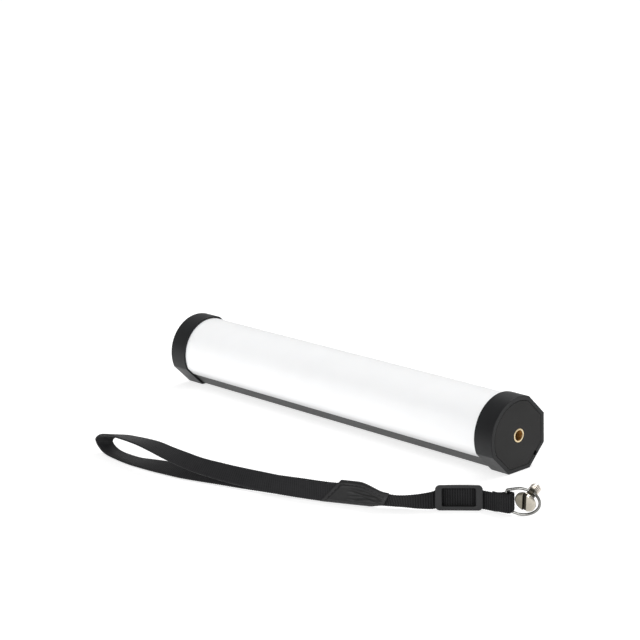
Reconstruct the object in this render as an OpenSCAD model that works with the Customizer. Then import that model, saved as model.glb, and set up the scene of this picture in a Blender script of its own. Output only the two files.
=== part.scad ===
// Pocket LED light tube with an octagonal back, threaded inserts in both ends,
// and its own wrist strap lying on the surface in front of it.
// X runs along the tube, -Y is the side the strap lies on, +Z is up.
// The origin is the centre of the tube's resting facet, on the surface it stands on.

/* [Tube] */
// Overall length of the tube over both end plates
tube_len = 295; // [285:1:320]
// Size of the end caps across opposite flats
cap_af = 44; // [43:0.5:46]
// Length of each end cap
cap_len = 14; // [12.5:0.1:15]
// How far the body sits inside the outline of the caps
body_inset = 1.3; // [1.1:0.1:1.5]
// Wall of the milky diffuser
diffuser_wall = 1.6; // [1.2:0.1:2]
// Wall of the extruded back
spine_wall = 1.8; // [1.5:0.1:2]
// Angle of the beam above the surface, about the tube's own axis
beam_turn = 45; // [45:45:45]

/* [Ends] */
// Bore of the threaded insert, which takes a quarter inch screw
insert_bore_d = 6.45; // [6.4:0.01:6.5]
// Outside of the threaded insert
insert_d = 8.5; // [8:0.1:9]
// Length of the threaded insert
insert_len = 10; // [8:0.5:11]
// Margin between the outline of a cap and its end plate
plate_margin = 2.7; // [2.2:0.1:2.7]
// Thickness of the end plate
plate_t = 2.4; // [2:0.1:3]

/* [Light engine] */
// Spacing of the LED packages along the board
led_pitch = 8; // [6:0.5:12]
// Number of LED packages in a row
led_count = 33; // [20:1:33]
// Width of the LED board
led_board_w = 22; // [18:1:26]

/* [Power] */
// Diameter of a battery cell
cell_d = 18.2; // [14:0.1:18.3]
// Length of a battery cell without its nub
cell_len = 63.8; // [50:0.1:64]

/* [Controls] */
// Diameter of a push button
button_d = 6.2; // [5:0.1:6.6]
// Spacing of the push buttons
button_pitch = 10.5; // [9:0.5:11]
// Travel of a push button
button_travel = 0.6; // [0.3:0.1:0.7]

/* [Strap] */
// Width of the webbing
web_w = 11; // [10:0.5:11]
// Thickness of the webbing
web_t = 1.3; // [1:0.1:1.5]
// Length of the slider buckle
slider_len = 26.6; // [26:0.2:30]
// Height of the slider buckle
slider_h = 14.8; // [14.8:0.1:16]
// Diameter of the ring's wire
wire_d = 1.6; // [1.5:0.1:2]
// Diameter of the thumb screw's threaded stud
stud_d = 6.2; // [6:0.05:6.3]

/* [Hidden] */
$fn = 64;
half_len = tube_len / 2;
cap_half = cap_af / 2;
body_half = cap_half - body_inset;
body_end = half_len - 6.6;
floor_to_axis = cap_half;
// the seam between the diffuser and the back, measured from the tube's axis towards the beam
seam = 1.8;
wall_in = body_half - spine_wall;
diffuser_in = body_half - diffuser_wall;
gap = 0.1;
lip_w = 1.6;
lip_h = 1.4;
rail_in = 15.4;
ledge_in = 13.6;
// corner channels that take the cap screws
boss_r = 2.5;
boss_at = 16.9;
gasket_w = 2.2;
cap_screw_d = 2;
upper_screw = [17.2, 0.35];
// the bridge that carries the LED board
carrier_lo = 0.2;
carrier_hi = 1.7;
carrier_half_len = 134;
led_lo = carrier_hi + 0.02;
led_hi = led_lo + 1.4;
screw_x = [-122, 0, 122];
screw_u = 9.2;
// rows of LED packages across the board
warm_row = -6;
cool_row = 6;
rgb_row = 0;
led_size = [3.5, 2.8, 0.8];
// battery bay
bay_x0 = -3;
wall_t = 1.8;
contact_t = 0.4;
nub_len = 1.2;
cell_pitch = cell_len + nub_len + 2 * contact_t + 2 * gap + wall_t;
cell_v = -9.6;
// electronics bay
driver_x = [-134, -12];
driver_lo = -8;
driver_t = 1.6;
panel_x = [-121, -34];
panel_half_w = 6.6;
panel_lo = -body_half - 0.1;
panel_hi = panel_lo + 1.7;
window_x = [-117, -90];
window_half_w = 4.6;
button_x0 = -82;
button_out = -body_half - 0.9;
button_names_at = [0, 1, 2, 3];
flange_lo = panel_hi + gap;
flange_hi = flange_lo + 0.8;
switch_lo = flange_hi + button_travel + 0.15;
board_lo = switch_lo + 2;
board_hi = board_lo + 1.2;
usb_x = -41;
usb_w = 8.9;
usb_h = 3.2;
usb_depth = 7.2;
magnet_x = 127.5;
magnet_d = 8;
magnet_t = 1.2;

// strap route along its lower edge: x, y, height, direction of the webbing's width in plan, lean
// the far run from the patch to the turn, the turn, and the near run back to the patch
LOOP = [
    [103, -111.5, 0.5, 112, 90], [92, -116, 0.5, 111, 88], [75, -123, 0, 110, 74],
    [62, -128, 0, 109, 60], [49, -132.5, 0, 108, 49], [36, -136.5, 0, 107, 41],
    [24, -140.5, 0, 105, 34], [11, -144.5, 0, 103, 29], [0, -146.5, 0, 99, 25],
    [-13, -148.5, 0, 95, 19], [-24, -149.5, 0, 90, 12], [-34, -150, 0, 82, 6],
    [-47, -149.5, 0.8, 70, 2], [-60, -148.5, 2.2, 58, 0], [-69, -147, 5.5, 48, -4],
    [-71.5, -146.5, 9, 44, -6], [-66, -146.5, 12.6, 50, -7], [-54, -147.5, 14.6, 62, -6],
    [-40, -149, 15.2, 76, -4], [-26, -150, 14.8, 86, 2], [-13, -150, 13.2, 92, 12],
    [0, -149.5, 11.2, 97, 20], [11, -148, 9.3, 101, 27], [24, -145, 6.8, 105, 34],
    [36, -141, 5, 107, 41], [49, -136.5, 3.4, 108, 49], [62, -131.3, 2, 109, 60],
    [75, -125.8, 1, 110, 74], [92, -118.5, 0.5, 111, 88], [102.5, -114.2, 0.5, 112, 90]
];
// the single run from the patch through the buckle to the ring
TAIL = [
    [127, -101.5, 0.4, 115.5, 90], [134, -98.1, 0.4, 116, 91], [138, -94.8, 0.3, 120, 101],
    [142.5, -90.9, 0.1, 127, 115], [148, -87, 0.1, 131, 112], [151.8, -84, 0.1, 132, 102],
    [154.3, -81.5, 0.1, 132, 94], [156.4, -79.6, 0.2, 132, 92], [158.8, -77.7, 0.9, 132, 91],
    [161.3, -76, 2, 132, 90], [166.5, -71.3, 2, 132, 90], [169.5, -68.6, 2, 132, 90],
    [172, -66.2, 1.1, 132, 90], [174.1, -64.2, 0.3, 132, 90], [176.4, -62.4, 0.1, 131, 90],
    [179.6, -61.2, 0.1, 124, 90], [183.9, -60.1, 0.1, 114, 90], [188.8, -59.3, 0.1, 102, 90]
];
strap_dir = 42;
slider_at = [166.5, -71.3];
slider_lower_rail = 2;
slider_upper_rail = 1.6;
// ring: straight bar and a round end, wider along the strap than across it
ring_dir = 24;
bar_at = [191.1, -59.1];
bar_half = 6;
ring_out = 10.8;
ring_up = 7.55;
ring_reach = 8.2;
ring_z = 8.4;
neck_turn = 55;
// the thumb screw hangs on the ring by an eye above its own axis
neck_out = ring_reach + ring_out * cos(neck_turn);
neck_at = [bar_at[0] + neck_out * cos(ring_dir), bar_at[1] + neck_out * sin(ring_dir),
           ring_z + ring_up * sin(neck_turn)];
neck_slope = atan2(ring_up * cos(neck_turn), ring_out * sin(neck_turn));
eye_drop = 3.4;
screw_at = neck_at - eye_drop * [
    sin(neck_slope) * cos(ring_dir), sin(neck_slope) * sin(ring_dir), cos(neck_slope)];
stud_az = 104;
stud_el = 19;
stud_len = 5.8;
slot_turn = 12;
patch_dir = 25.5;
patch_at = [117.7, -105.7];
patch_len = 41;
patch_h = 14;
patch_t = 6.6;

// ---- placing ----

// turns a piece drawn with the beam along +Z to where the tube lies on its facet
module lying() {
    translate([0, 0, floor_to_axis])
        rotate([beam_turn, 0, 0])
            children();
}

// runs a cross-section, drawn as Y and Z, along X
module along(from, to) {
    translate([from, 0, 0])
        rotate([90, 0, 90])
            linear_extrude(to - from)
                children();
}

module box(lo, hi) {
    translate(lo)
        cube(hi - lo);
}

module both_sides() {
    children();
    mirror([0, 1, 0])
        children();
}

module at_end(side) {
    mirror([side < 0 ? 1 : 0, 0, 0])
        children();
}

// ---- cross-sections ----

// the tube's outline: five flats at the back and a round front that starts at two of their corners
module outline(half) {
    corner_r = half / cos(22.5);
    corner_v = half * tan(22.5);
    rotate(22.5)
        circle(r = corner_r, $fn = 8);
    intersection() {
        circle(r = corner_r, $fn = 128);
        translate([-half, corner_v])
            square([2 * half, corner_r]);
    }
}

module above(v) {
    translate([-cap_af, v])
        square([2 * cap_af, 2 * cap_af]);
}

module below(v) {
    translate([-cap_af, v - 2 * cap_af])
        square([2 * cap_af, 2 * cap_af]);
}

module screw_places() {
    for (side = [-1, 1]) {
        translate([side * boss_at * cos(45), -boss_at * sin(45)])
            children();
        translate([side * upper_screw[0], upper_screw[1]])
            children();
    }
}

// ---- housing ----

module diffuser_section() {
    lip_mid = diffuser_in + 0.3 - lip_w / 2;
    difference() {
        intersection() {
            outline(body_half);
            above(seam);
        }
        difference() {
            outline(diffuser_in);
            for (side = [-1, 1])
                translate([side * lip_mid, seam + lip_h / 2])
                    square([lip_w + 0.6, lip_h], center = true);
        }
    }
}

module diffuser() {
    color("white")
        lying()
            along(-body_end, body_end)
                diffuser_section();
}

module spine_section() {
    difference() {
        intersection() {
            outline(body_half);
            below(seam - gap);
        }
        outline(wall_in);
    }
    for (side = [-1, 1]) {
        // shelf for the diffuser's lip, with the ledge that the carrier rests on
        translate([side > 0 ? rail_in : -wall_in - 0.2, -1.2])
            square([wall_in + 0.2 - rail_in, seam - gap + 1.2]);
        translate([side > 0 ? ledge_in : -rail_in - 0.1, -1.2])
            square([rail_in + 0.1 - ledge_in, 1.2 + carrier_lo - gap]);
        // hook that holds the lip down
        translate([side > 0 ? rail_in : -rail_in - 1.2, seam - gap - 0.1])
            square([1.2, 3.1]);
        translate([side > 0 ? rail_in : -rail_in - 2.7, seam + lip_h + gap])
            square([2.7, 1]);
        // ribs of the slot that holds the driver board
        for (v = [driver_lo - 1.3, driver_lo + driver_t + gap])
            translate([side > 0 ? wall_in - 2.4 : -wall_in - 0.2, v])
                square([2.6, 1.2]);
    }
    intersection() {
        outline(wall_in + 0.2);
        for (side = [-1, 1])
            translate([side * boss_at * cos(45), -boss_at * sin(45)])
                circle(r = boss_r);
    }
}

module spine() {
    color("dimgray")
        lying()
            difference() {
                along(-body_end, body_end)
                    difference() {
                        spine_section();
                        screw_places()
                            circle(d = cap_screw_d + 0.1);
                    }
                // opening for the control panel
                box([panel_x[0] - gap, -panel_half_w - gap, -cap_half - 1],
                    [panel_x[1] + gap, panel_half_w + gap, -wall_in + 0.5]);
                // shallow pockets for the magnets
                for (side = [-1, 1])
                    translate([side * magnet_x, 0, -body_half - 1])
                        cylinder(d = magnet_d + 0.1, h = 1 + magnet_t + 0.05);
            }
}

module cap(side) {
    color("#26282b")
        lying()
            at_end(side)
                difference() {
                    union() {
                        along(half_len - cap_len, half_len)
                            outline(cap_half);
                        along(half_len - insert_len - 1.2, half_len - 5)
                            circle(r = 6.2);
                    }
                    difference() {
                        along(half_len - cap_len - 1, half_len - 5.8)
                            outline(body_half + 0.12);
                        along(half_len - insert_len - 1.2, half_len - 5)
                            circle(r = 6.2);
                    }
                    along(half_len - plate_t - 0.1, half_len + 1)
                        outline(cap_half - plate_margin + 0.15);
                    along(half_len - insert_len - 2, half_len)
                        circle(d = insert_d + 0.1);
                    along(half_len - 7, half_len)
                        screw_places()
                            circle(d = cap_screw_d + 0.2);
                    along(half_len - plate_t - 1.4, half_len)
                        screw_places()
                            circle(r = 1.95);
                    along(half_len - 1.5, half_len + 1)
                        pry_slot();
                }
}

module cap_left() {
    cap(-1);
}

module cap_right() {
    cap(1);
}

// a small slot across the plate's edge for the tool that lifts it out
module pry_slot() {
    translate([0, plate_margin - cap_half - 0.5])
        square([2.6, 2], center = true);
}

// the plate that closes a cap
module end_plate(side) {
    color("#3b3b3b")
        lying()
            at_end(side)
                along(half_len - plate_t, half_len - 0.1)
                    difference() {
                        outline(cap_half - plate_margin);
                        circle(d = insert_d + 0.1);
                        pry_slot();
                    }
}

module end_plate_left() {
    end_plate(-1);
}

module end_plate_right() {
    end_plate(1);
}

module threaded_insert(side) {
    color("goldenrod")
        lying()
            at_end(side)
                along(half_len - insert_len - 0.1, half_len - 0.1)
                    difference() {
                        circle(d = insert_d);
                        circle(d = insert_bore_d);
                    }
}

module threaded_insert_left() {
    threaded_insert(-1);
}

module threaded_insert_right() {
    threaded_insert(1);
}

module gasket(side) {
    color("black")
        lying()
            at_end(side)
                along(body_end + 0.03, half_len - 5.83)
                    difference() {
                        outline(body_half - 0.1);
                        outline(body_half - gasket_w);
                    }
}

module gasket_left() {
    gasket(-1);
}

module gasket_right() {
    gasket(1);
}

module cap_screws(side) {
    color("silver")
        lying()
            at_end(side) {
                along(half_len - plate_t - 1.35, half_len - plate_t - 0.2)
                    screw_places()
                        circle(r = 1.85);
                along(half_len - 14, half_len - plate_t - 1.3)
                    screw_places()
                        circle(d = cap_screw_d);
            }
}

module cap_screws_left() {
    cap_screws(-1);
}

module cap_screws_right() {
    cap_screws(1);
}

// ---- light engine ----

module led_carrier() {
    color("silver")
        lying()
            difference() {
                box([-carrier_half_len, -rail_in + gap, carrier_lo],
                    [carrier_half_len, rail_in - gap, carrier_hi]);
                board_screw_places()
                    cylinder(d = 2.1, h = 10, center = true);
                for (u = [-10, 10])
                    translate([-130, u, 0])
                        cylinder(d = 1.5, h = 10, center = true);
            }
}

module board_screw_places() {
    for (x = screw_x, side = [-1, 1])
        translate([x, side * screw_u, carrier_hi])
            children();
}

module led_board() {
    color("whitesmoke")
        lying()
            difference() {
                box([-carrier_half_len, -led_board_w / 2, led_lo],
                    [carrier_half_len, led_board_w / 2, led_hi]);
                board_screw_places()
                    cylinder(d = 2.1, h = 10, center = true);
            }
}

module led_row(u) {
    lying()
        for (i = [0 : led_count - 1])
            translate([(i - (led_count - 1) / 2) * led_pitch - led_size[0] / 2,
                       u - led_size[1] / 2, led_hi + 0.02])
                cube(led_size);
}

module leds_warm() {
    color("gold")
        led_row(warm_row);
}

module leds_cool() {
    color("khaki")
        led_row(cool_row);
}

module leds_rgb() {
    color("white")
        led_row(rgb_row);
}

// white wings from the edges of the LED board to the inside of the diffuser
module reflector() {
    inner = led_board_w / 2 + 0.3;
    color("white")
        lying()
            both_sides()
                along(-carrier_half_len, carrier_half_len)
                    polygon([[inner, led_hi], [inner + 0.7, led_hi - 0.3], [diffuser_in - 0.4, 7.3],
                             [diffuser_in - 0.4, 8.1]]);
}

module board_screws() {
    color("silver")
        lying()
            board_screw_places() {
                translate([0, 0, led_hi - carrier_hi + 0.02])
                    cylinder(d = 3.2, h = 1);
                translate([0, 0, carrier_lo - carrier_hi + 0.05])
                    cylinder(d = 1.9, h = led_hi - carrier_lo + 0.1);
            }
}

// ---- battery bay ----

// left face of each bulkhead of the battery tray
function bulkhead_x(i) = bay_x0 + i * cell_pitch;

module cell(i) {
    start = bulkhead_x(i) + wall_t + contact_t + gap;
    lying()
        translate([start, 0, cell_v])
            rotate([0, 90, 0]) {
                cylinder(d = cell_d, h = cell_len);
                cylinder(d = 6, h = cell_len + nub_len);
            }
}

module battery_front() {
    color("royalblue")
        cell(0);
}

module battery_rear() {
    color("royalblue")
        cell(1);
}

module battery_tray() {
    side_in = 9.6;
    side_out = 11.2;
    color("black")
        lying() {
            for (i = [0 : 2])
                along(bulkhead_x(i), bulkhead_x(i) + wall_t)
                    polygon([[-9, -15], [9, -15], [9, -9], [side_out, -9], [side_out, -0.3],
                             [-side_out, -0.3], [-side_out, -9], [-9, -9]]);
            for (u = [side_in, -side_out])
                box([bulkhead_x(0), u, -5], [bulkhead_x(2) + wall_t, u + side_out - side_in, -0.3]);
        }
}

module battery_contacts() {
    color("silver")
        lying()
            for (i = [0 : 1]) {
                box([bulkhead_x(i) + wall_t + 0.02, -4, cell_v - 4],
                    [bulkhead_x(i) + wall_t + contact_t, 4, cell_v + 4]);
                box([bulkhead_x(i + 1) - contact_t, -4, cell_v - 4],
                    [bulkhead_x(i + 1) - 0.02, 4, cell_v + 4]);
            }
}

// ---- electronics ----

module driver_board() {
    color("darkgreen")
        lying()
            box(
                [driver_x[0], -wall_in + 1.2, driver_lo],
                [driver_x[1], wall_in - 1.2, driver_lo + driver_t]);
}

// chips, coils and capacitors on the driver board
module driver_parts() {
    top = driver_lo + driver_t + 0.02;
    color("darkslategray")
        lying() {
            for (x = [-118, -96])
                box([x, -5, top], [x + 8, 3, top + 1.2]);
            for (x = [-78, -62]) {
                box([x - 5, -5, top], [x + 5, 5, top + 3.6]);
            }
            for (x = [-46, -38, -30])
                translate([x, 7, top])
                    cylinder(d = 6.3, h = 4.8);
            for (x = [-110 : 12 : -50], u = [-11, 11])
                box([x, u - 1, top], [x + 3.2, u + 1, top + 0.9]);
            box([-26, -8, top], [-20, -2, top + 2]);
        }
}

module battery_leads() {
    color("red")
        lying()
            for (u = [-6, 6])
                translate([driver_x[1] - 6, u, driver_lo + driver_t + 0.8])
                    rotate([0, 90, 0])
                        cylinder(d = 1.5, h = bay_x0 - driver_x[1] + 5.95);
}

module led_leads() {
    color("orange")
        lying()
            for (u = [-10, 10])
                translate([-130, u, driver_lo + driver_t + 0.02])
                    cylinder(d = 1.3, h = carrier_hi - driver_lo - driver_t - 0.05);
}

// ---- controls, on the back facet ----

module button_places() {
    for (i = button_names_at)
        translate([button_x0 + i * button_pitch, 0, 0])
            children();
}

module control_panel() {
    color("#101214")
        lying()
            difference() {
                box([panel_x[0], -panel_half_w, panel_lo], [panel_x[1], panel_half_w, panel_hi]);
                box([window_x[0], -window_half_w, panel_lo - 1], [window_x[1], window_half_w, panel_hi + 1]);
                button_places()
                    translate([0, 0, panel_lo - 1])
                        cylinder(d = button_d + 0.3, h = 5);
                box([usb_x - usb_w / 2 - gap, -usb_h / 2 - gap, panel_lo - 1],
                    [usb_x + usb_w / 2 + gap, usb_h / 2 + gap, panel_hi + 1]);
            }
}

module display_window() {
    color("lightblue")
        lying()
            box([window_x[0] + gap, -window_half_w + gap, panel_lo],
                [window_x[1] - gap, window_half_w - gap, panel_lo + 1]);
}

module display_module() {
    color("black")
        lying()
            box([window_x[0] + 0.2, -window_half_w + 0.2, panel_lo + 1.05],
                [window_x[1] - 0.2, window_half_w - 0.2, switch_lo + 1.9]);
}

module push_button(i) {
    color("dimgray")
        lying()
            translate([button_x0 + i * button_pitch, 0, 0]) {
                translate([0, 0, button_out])
                    cylinder(d = button_d, h = flange_lo - button_out + 0.1);
                translate([0, 0, flange_lo])
                    cylinder(d = button_d + 1.6, h = flange_hi - flange_lo);
            }
}

module button_power() {
    push_button(0);
}

module button_mode() {
    push_button(1);
}

module button_up() {
    push_button(2);
}

module button_down() {
    push_button(3);
}

module tact_switches() {
    color("gainsboro")
        lying()
            button_places() {
                translate([0, 0, switch_lo])
                    cylinder(d = 2.4, h = 0.7);
                translate([-2.3, -2.3, switch_lo + 0.6])
                    cube([4.6, 4.6, 1.38]);
            }
}

module button_board() {
    color("darkgreen")
        lying()
            box([window_x[0], -5.8, board_lo], [button_x0 + 3 * button_pitch + 2.6, 5.8, board_hi]);
}

module usb_port() {
    color("silver")
        lying()
            difference() {
                box(
                    [usb_x - usb_w / 2, -usb_h / 2, panel_lo],
                    [usb_x + usb_w / 2, usb_h / 2, panel_lo + usb_depth]);
                box([usb_x - usb_w / 2 + 0.3, -usb_h / 2 + 0.3, panel_lo - 1],
                    [usb_x + usb_w / 2 - 0.3, usb_h / 2 - 0.3, panel_lo + usb_depth - 0.5]);
            }
}

module usb_tongue() {
    color("black")
        lying()
            box([usb_x - 3.3, -0.35, panel_lo + 1.2], [usb_x + 3.3, 0.35, panel_lo + usb_depth - 0.55]);
}

module usb_board() {
    top = panel_lo + usb_depth + 0.02;
    color("darkgreen")
        lying()
            box([usb_x - 6.5, -6, top], [usb_x + 6.5, 6, top + 1.2]);
}

module magnet(side) {
    color("silver")
        lying()
            translate([side * magnet_x, 0, -body_half])
                cylinder(d = magnet_d, h = magnet_t);
}

module magnet_left() {
    magnet(-1);
}

module magnet_right() {
    magnet(1);
}

// ---- strap ----

function unit(v) = v / norm(v);
// width direction of the webbing at one point of its route
function across(p) = [cos(p[4]) * cos(p[3]), cos(p[4]) * sin(p[3]), sin(p[4])];
// the point, raised by what the webbing's thickness needs when it leans
function lower(p, t) = [p[0], p[1], p[2] + abs(cos(p[4])) * t / 2 + 0.07];
function heading(route, i) = unit(
    lower(route[min(i + 1, len(route) - 1)], 0) - lower(route[max(i - 1, 0)], 0));
function facing(route, i) = unit(cross(across(route[i]), heading(route, i)));
function ring_points(route, i, w, t) = [
    lower(route[i], t) - facing(route, i) * t / 2,
    lower(route[i], t) + facing(route, i) * t / 2,
    lower(route[i], t) + across(route[i]) * w + facing(route, i) * t / 2,
    lower(route[i], t) + across(route[i]) * w - facing(route, i) * t / 2
];

// a route with a point added in the middle of each span, on a smooth curve through its points
function middle(route, i) = let (
        a = route[max(i - 1, 0)],
        b = route[i],
        c = route[i + 1],
        d = route[min(i + 2, len(route) - 1)])
    (9 * (b + c) - a - d) / 16;
function smooth(route) = [
    for (i = [0 : len(route) - 2])
        each [route[i], middle(route, i)],
    route[len(route) - 1]
];

// a flat band along a route, with its lower edge on the route
module webbing(rough_route, w, t) {
    route = smooth(rough_route);
    n = len(route);
    polyhedron(
        points = [for (i = [0 : n - 1]) each ring_points(route, i, w, t)],
        faces = [
            [0, 1, 2],
            [0, 2, 3],
            for (i = [0 : n - 2], k = [0 : 2])
                each [
                    [4 * i + k, 4 * i + 4 + k, 4 * i + 5 + k],
                    [4 * i + k, 4 * i + 5 + k, 4 * i + 1 + k]
                ],
            // the back is split along the same diagonals as the front, so the band keeps its thickness
            for (i = [0 : n - 2])
                each [
                    [4 * i + 3, 4 * i + 7, 4 * i],
                    [4 * i + 7, 4 * i + 4, 4 * i]
                ],
            [4 * n - 1, 4 * n - 2, 4 * n - 3],
            [4 * n - 1, 4 * n - 3, 4 * n - 4]
        ]);
}

module along_strap(at, direction) {
    translate([at[0], at[1], 0])
        rotate([0, 0, direction])
            children();
}

module strap_loop() {
    color("#1c1c1c")
        webbing(LOOP, web_w, web_t);
}

// leather sleeve over the sewn ends of the webbing
module strap_patch() {
    color("#202020")
        along_strap(patch_at, patch_dir)
            difference() {
                hull() {
                    box(
                        [-patch_len / 2, -patch_t / 2 + 0.6, 0.6],
                        [patch_len / 2, patch_t / 2 - 0.6, patch_h - 0.6]);
                    box(
                        [-patch_len / 2 + 0.6, -patch_t / 2, 1.4],
                        [patch_len / 2 - 0.6, patch_t / 2, patch_h - 1.4]);
                    box(
                        [-patch_len / 2 + 0.6, -patch_t / 2 + 1.4, 0],
                        [patch_len / 2 - 0.6, patch_t / 2 - 1.4, patch_h]);
                }
                box([-patch_len, -patch_t / 2 + 0.9, 0.4], [patch_len, patch_t / 2 - 0.9, web_w + 1.4]);
            }
}

module strap_tail() {
    color("#1c1c1c") {
        webbing(TAIL, web_w, web_t);
        translate([bar_at[0], bar_at[1], ring_z - 4.6])
            difference() {
                cylinder(r = 2.4, h = 9);
                translate([0, 0, -1])
                    cylinder(r = 1.1, h = 11);
            }
    }
}

// ladder buckle: a flat frame in front of the webbing and a centre bar behind it
module slider_buckle() {
    front = -2.4;
    clear = web_t / 2 + 0.25;
    back = 2.4;
    upper = slider_h - slider_upper_rail;
    color("#1a1a1c")
        along_strap(slider_at, strap_dir) {
            box([-slider_len / 2, front, 0.05], [slider_len / 2, -clear, slider_lower_rail]);
            box([-slider_len / 2, front, upper], [slider_len / 2, -clear, slider_h]);
            for (x = [-slider_len / 2, slider_len / 2 - 3.8])
                box([x, front, 0.05], [x + 3.8, -clear, slider_h]);
            for (z = [[0.05, slider_lower_rail], [upper, slider_h - 1]])
                box([-2, front, z[0]], [2, back, z[1]]);
            box([-2, clear, 0.05], [2, back, slider_h - 1]);
        }
}

// the ring's middle line in its own plane, once round
function ring_path() = [
    for (a = [-96 : 12 : 96])
        [ring_reach + ring_out * cos(a), ring_up * sin(a)],
    [1.2, bar_half + 0.17],
    [0.3, bar_half - 0.1],
    [0, bar_half - 1.2],
    [0, 1.2 - bar_half],
    [0.3, 0.1 - bar_half],
    [1.2, -bar_half - 0.17]
];

module d_ring() {
    path = ring_path();
    n = len(path);
    sides = 12;
    color("silver")
        along_strap(bar_at, ring_dir)
            translate([0, 0, ring_z])
                polyhedron(
                    points = [
                        for (i = [0 : n - 1])
                            let (
                                t = path[(i + 1) % n] - path[(i + n - 1) % n],
                                out = [t[1], -t[0]] / norm(t))
                                for (k = [0 : sides - 1])
                                    let (u = path[i] + out * cos(360 * k / sides) * wire_d / 2)
                                        [u[0], sin(360 * k / sides) * wire_d / 2, u[1]]
                    ],
                    faces = [
                        for (i = [0 : n - 1], k = [0 : sides - 1])
                            let (j = (i + 1) % n, m = (k + 1) % sides)
                                each [
                                    [i * sides + k, j * sides + m, i * sides + m],
                                    [i * sides + k, j * sides + k, j * sides + m]
                                ]
                    ]);
}

// slotted thumb screw: head, neck and stud, with an eye for the ring's wire above the neck
module thumb_screw() {
    head_r = 6.2;
    head_t = 2.6;
    head_from = 6.2;
    neck_r = 2.6;
    stud_from = 3.7;
    eye_r = 2.3;
    eye_half = 1.6;
    color("silver")
        difference() {
            union() {
                translate(screw_at)
                    rotate([0, 90 - stud_el, stud_az])
                        difference() {
                            union() {
                                translate([0, 0, -head_from])
                                    cylinder(r = head_r, h = head_t);
                                translate([0, 0, -head_from + 1])
                                    cylinder(r = neck_r, h = head_from + stud_from);
                                translate([0, 0, stud_from])
                                    cylinder(d = stud_d, h = stud_len);
                            }
                            rotate([0, 0, slot_turn])
                                translate([-head_r - 1, -1.1, -head_from - 1])
                                    cube([2 * head_r + 2, 2.2, 2.6]);
                        }
                translate(neck_at)
                    rotate([0, neck_slope + 90, ring_dir])
                        translate([0, 0, -eye_half])
                            linear_extrude(height = 2 * eye_half)
                                hull() {
                                    circle(r = eye_r);
                                    translate([eye_drop, 0])
                                        circle(r = eye_r);
                                }
            }
            translate(neck_at)
                rotate([0, neck_slope + 90, ring_dir])
                    cylinder(d = wire_d + 0.8, h = 12, center = true, $fn = 32);
        }
}

diffuser();
spine();
cap_left();
cap_right();
end_plate_left();
end_plate_right();
threaded_insert_left();
threaded_insert_right();
gasket_left();
gasket_right();
cap_screws_left();
cap_screws_right();
led_carrier();
led_board();
leds_warm();
leds_cool();
leds_rgb();
reflector();
board_screws();
battery_front();
battery_rear();
battery_tray();
battery_contacts();
driver_board();
driver_parts();
battery_leads();
led_leads();
control_panel();
display_window();
display_module();
button_power();
button_mode();
button_up();
button_down();
button_board();
tact_switches();
usb_port();
usb_tongue();
usb_board();
magnet_left();
magnet_right();
strap_loop();
strap_patch();
strap_tail();
slider_buckle();
d_ring();
thumb_screw();
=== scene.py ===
import math

import bmesh
import bpy
import numpy as np
from mathutils import Matrix, Vector


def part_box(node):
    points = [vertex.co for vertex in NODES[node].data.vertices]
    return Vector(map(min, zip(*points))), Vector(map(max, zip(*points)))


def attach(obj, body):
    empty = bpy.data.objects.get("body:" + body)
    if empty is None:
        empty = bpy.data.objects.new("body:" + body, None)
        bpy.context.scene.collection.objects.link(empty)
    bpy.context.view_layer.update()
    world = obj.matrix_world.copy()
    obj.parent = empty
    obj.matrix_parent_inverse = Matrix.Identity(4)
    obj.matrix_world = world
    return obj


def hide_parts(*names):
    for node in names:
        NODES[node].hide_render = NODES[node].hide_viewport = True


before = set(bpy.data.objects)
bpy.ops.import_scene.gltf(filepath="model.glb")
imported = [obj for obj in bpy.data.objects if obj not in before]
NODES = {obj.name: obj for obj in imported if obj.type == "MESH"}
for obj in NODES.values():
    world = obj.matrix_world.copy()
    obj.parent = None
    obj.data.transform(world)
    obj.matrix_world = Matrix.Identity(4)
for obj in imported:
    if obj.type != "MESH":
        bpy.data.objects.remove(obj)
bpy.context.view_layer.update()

MM = 0.001
scene = bpy.context.scene


# ---- small mesh tools ----

def link(name, verts, faces):
    mesh = bpy.data.meshes.new(name)
    mesh.from_pydata([tuple(v) for v in verts], [], [tuple(f) for f in faces])
    mesh.validate()
    mesh.update()
    ob = bpy.data.objects.new(name, mesh)
    scene.collection.objects.link(ob)
    mesh.polygons.foreach_set("use_smooth", [True] * len(mesh.polygons))
    return ob


def outward(ob):
    """Joins doubled points and turns every face outward."""
    bm = bmesh.new()
    bm.from_mesh(ob.data)
    bmesh.ops.remove_doubles(bm, verts=bm.verts, dist=1e-7)
    bmesh.ops.recalc_face_normals(bm, faces=bm.faces)
    bm.to_mesh(ob.data)
    bm.free()
    ob.data.polygons.foreach_set("use_smooth", [True] * len(ob.data.polygons))
    return ob


def sharpen(ob, angle):
    """Keeps the edges sharper than an angle crisp under smooth shading."""
    bm = bmesh.new()
    bm.from_mesh(ob.data)
    limit = math.radians(angle)
    for e in bm.edges:
        e.smooth = len(e.link_faces) == 2 and e.calc_face_angle(0) < limit
    bm.to_mesh(ob.data)
    bm.free()


def tube_grid(rings, closed_path=False):
    """Verts and faces for a stack of closed rings with the same number of points."""
    n = len(rings)
    m = len(rings[0])
    verts = [p for r in rings for p in r]
    faces = []
    last = n if closed_path else n - 1
    for i in range(last):
        j = (i + 1) % n
        for k in range(m):
            q = (k + 1) % m
            faces.append((i * m + k, i * m + q, j * m + q, j * m + k))
    if not closed_path:
        faces.append(tuple(range(m - 1, -1, -1)))
        faces.append(tuple(range((n - 1) * m, n * m)))
    return verts, faces


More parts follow.
